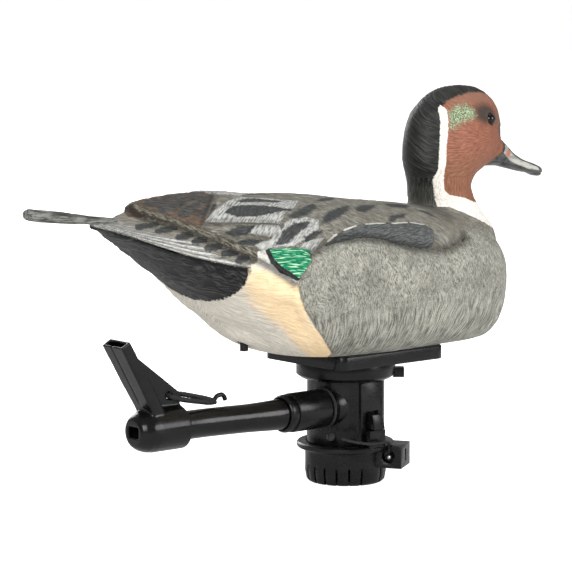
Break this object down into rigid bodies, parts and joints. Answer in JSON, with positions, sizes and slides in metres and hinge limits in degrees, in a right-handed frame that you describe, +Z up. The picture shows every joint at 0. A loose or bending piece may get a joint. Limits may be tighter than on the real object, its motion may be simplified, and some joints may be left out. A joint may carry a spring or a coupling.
{
  "type": "floating duck decoy",
  "caption": "Life-size floating duck decoy with a painted hull, and a motor-driven pump column, side hose and spout hung below on a twist-lock ring.",
  "frame": {"origin": "centre of the flat foot of the pump strainer, on the upright axis of the pump column", "axes": "+X towards the bill, +Y to the duck's left side, +Z up"},
  "size_m": [0.493, 0.165, 0.2945],
  "materials": {
    "hull_paint": "matt hand-painted moulded plastic with feather relief",
    "head_paint": "matt painted moulded plastic with feather relief",
    "eye": "polished dark dome",
    "tail_paint": "matt mottled paint",
    "black_plastic": "satin black moulded plastic",
    "black_rubber": "soft black rubber",
    "black_cord": "tight braided black cord",
    "steel": "brushed stainless steel",
    "motor_can": "drawn zinc-plated steel",
    "white_plastic": "moulded nylon",
    "board": "green solder-masked laminate",
    "battery_wrap": "blue heat-shrink wrap",
    "wire": "red insulated wire"
  },
  "bodies": {
    "root": {"body_shell": "hull_paint", "head_shell": "head_paint", "eye_right": "eye", "eye_left": "eye", "tail_sprig": "tail_paint", "battery_tub": "black_plastic", "tub_gasket": "black_rubber", "tub_screw_1": "steel", "tub_screw_2": "steel", "tub_screw_3": "steel", "tub_screw_4": "steel", "battery_shelf": "black_plastic", "battery_pack": "battery_wrap", "control_board": "board", "column_housing": "black_plastic", "column_oring": "black_rubber", "motor": "motor_can", "seal_plate": "black_plastic", "shaft_seal": "black_rubber", "volute_plate": "black_plastic", "tether_loop": "black_cord", "union_sleeve": "black_plastic", "union_oring": "black_rubber", "hose_adapter": "black_plastic", "discharge_hose": "black_plastic", "switch_body": "black_plastic", "switch_nut": "steel", "switch_lead": "wire", "pump_lead": "wire"},
    "lock_ring": {"lock_ring": "black_plastic"},
    "rotor": {"motor_shaft": "steel", "impeller": "white_plastic"},
    "strainer": {"strainer_basket": "black_plastic", "cord_stop": "steel", "tether_line": "black_cord"},
    "latch_right": {"latch_right": "black_plastic"},
    "latch_left": {"latch_left": "black_plastic"},
    "nozzle": {"nozzle": "black_plastic"},
    "hook": {"hook_loop": "black_cord", "line_hook": "black_plastic"},
    "button": {"power_button": "black_rubber"}
  },
  "joints": [
    {"name": "rotor_spin", "type": "hinge", "parent": "root", "child": "rotor", "pos_m": [0, 0, 0.06], "axis": [0, 0, 1], "continuous": true},
    {"name": "lock_ring_turn", "type": "hinge", "parent": "root", "child": "lock_ring", "pos_m": [0, 0, 0.086], "axis": [0, 0, 1], "range_deg": [0, 60]},
    {"name": "strainer_drop", "type": "slide", "parent": "root", "child": "strainer", "axis": [0, 0, -1], "range_m": [0, 0.02]},
    {"name": "latch_right_press", "type": "hinge", "parent": "root", "child": "latch_right", "pos_m": [0, -0.0289, 0.054], "axis": [1, 0, 0], "range_deg": [0, 5]},
    {"name": "latch_left_press", "type": "hinge", "parent": "root", "child": "latch_left", "pos_m": [0, 0.0289, 0.054], "axis": [-1, 0, 0], "range_deg": [0, 5]},
    {"name": "nozzle_turn", "type": "hinge", "parent": "root", "child": "nozzle", "pos_m": [-0.17, 0, 0.059], "axis": [1, 0, 0], "range_deg": [-60, 30]},
    {"name": "hook_swing", "type": "hinge", "parent": "nozzle", "child": "hook", "pos_m": [-0.1684, 0, 0.0826], "axis": [0, -1, 0], "range_deg": [0, 70]},
    {"name": "power_button_press", "type": "slide", "parent": "root", "child": "button", "axis": [0, 0, 1], "range_m": [0, 0.0025]}
  ]
}
